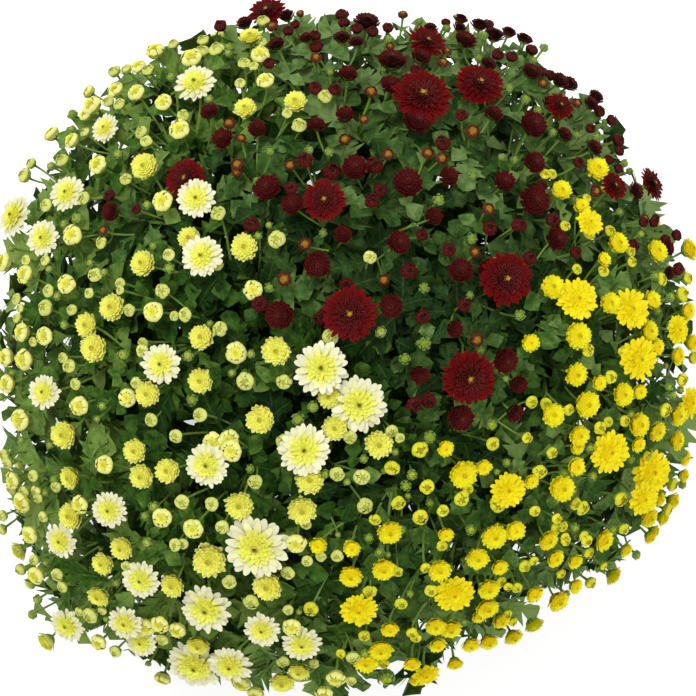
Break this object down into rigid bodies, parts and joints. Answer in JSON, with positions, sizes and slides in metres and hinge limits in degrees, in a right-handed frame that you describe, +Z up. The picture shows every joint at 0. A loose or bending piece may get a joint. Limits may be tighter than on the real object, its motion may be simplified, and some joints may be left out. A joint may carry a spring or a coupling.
{
  "type": "pot chrysanthemum",
  "caption": "Dome of pot chrysanthemums in ivory, dark red and yellow, with open blooms, buttons and lobed leaves, in a round nursery pot.",
  "frame": {"origin": "middle of the pot's flat base, on the surface that it stands on", "axes": "+Z up; seen from above with +Y away, the ivory heads are on the left (-X), the red ones to the back right and the yellow ones to the front right"},
  "size_m": [0.4933, 0.4643, 0.3856],
  "materials": {
    "pot_plastic": "moulded black polypropylene, satin",
    "potting_mix": "crumbly peat and bark mix",
    "foliage": "soft matt leaves and green stalks",
    "ivory_petals": "ivory rays round a lemon cushion, silky",
    "red_petals": "dark red velvety rays",
    "yellow_petals": "bright yellow silky rays"
  },
  "bodies": {
    "root": {"ivory_bloom_01": "ivory_petals", "ivory_bloom_02": "ivory_petals", "ivory_bloom_03": "ivory_petals", "ivory_bloom_04": "ivory_petals", "ivory_bloom_05": "ivory_petals", "ivory_bloom_06": "ivory_petals", "ivory_bloom_07": "ivory_petals", "ivory_bloom_08": "ivory_petals", "ivory_bloom_09": "ivory_petals", "ivory_bloom_10": "ivory_petals", "ivory_bloom_11": "ivory_petals", "ivory_bloom_12": "ivory_petals", "ivory_bloom_13": "ivory_petals", "ivory_bloom_14": "ivory_petals", "ivory_bloom_15": "ivory_petals", "ivory_bloom_16": "ivory_petals", "ivory_shoot_01": "foliage", "ivory_shoot_02": "foliage", "ivory_shoot_03": "foliage", "ivory_shoot_04": "foliage", "ivory_shoot_05": "foliage", "ivory_shoot_06": "foliage", "ivory_shoot_07": "foliage", "ivory_shoot_08": "foliage", "ivory_shoot_09": "foliage", "ivory_shoot_10": "foliage", "ivory_shoot_11": "foliage", "ivory_shoot_12": "foliage", "pot": "pot_plastic", "potting_mix": "potting_mix", "red_bloom_01": "red_petals", "red_bloom_02": "red_petals", "red_bloom_03": "red_petals", "red_bloom_04": "red_petals", "red_bloom_05": "red_petals", "red_bloom_06": "red_petals", "red_bloom_07": "red_petals", "red_bloom_08": "red_petals", "red_bloom_09": "red_petals", "red_shoot_01": "foliage", "red_shoot_02": "foliage", "red_shoot_03": "foliage", "red_shoot_04": "foliage", "red_shoot_05": "foliage", "red_shoot_06": "foliage", "red_shoot_07": "foliage", "yellow_bloom_01": "yellow_petals", "yellow_bloom_02": "yellow_petals", "yellow_bloom_03": "yellow_petals", "yellow_bloom_04": "yellow_petals", "yellow_bloom_05": "yellow_petals", "yellow_bloom_06": "yellow_petals", "yellow_bloom_07": "yellow_petals", "yellow_bloom_08": "yellow_petals", "yellow_shoot_01": "foliage", "yellow_shoot_02": "foliage", "yellow_shoot_03": "foliage", "yellow_shoot_04": "foliage", "yellow_shoot_05": "foliage", "yellow_shoot_06": "foliage"}
  },
  "joints": []
}
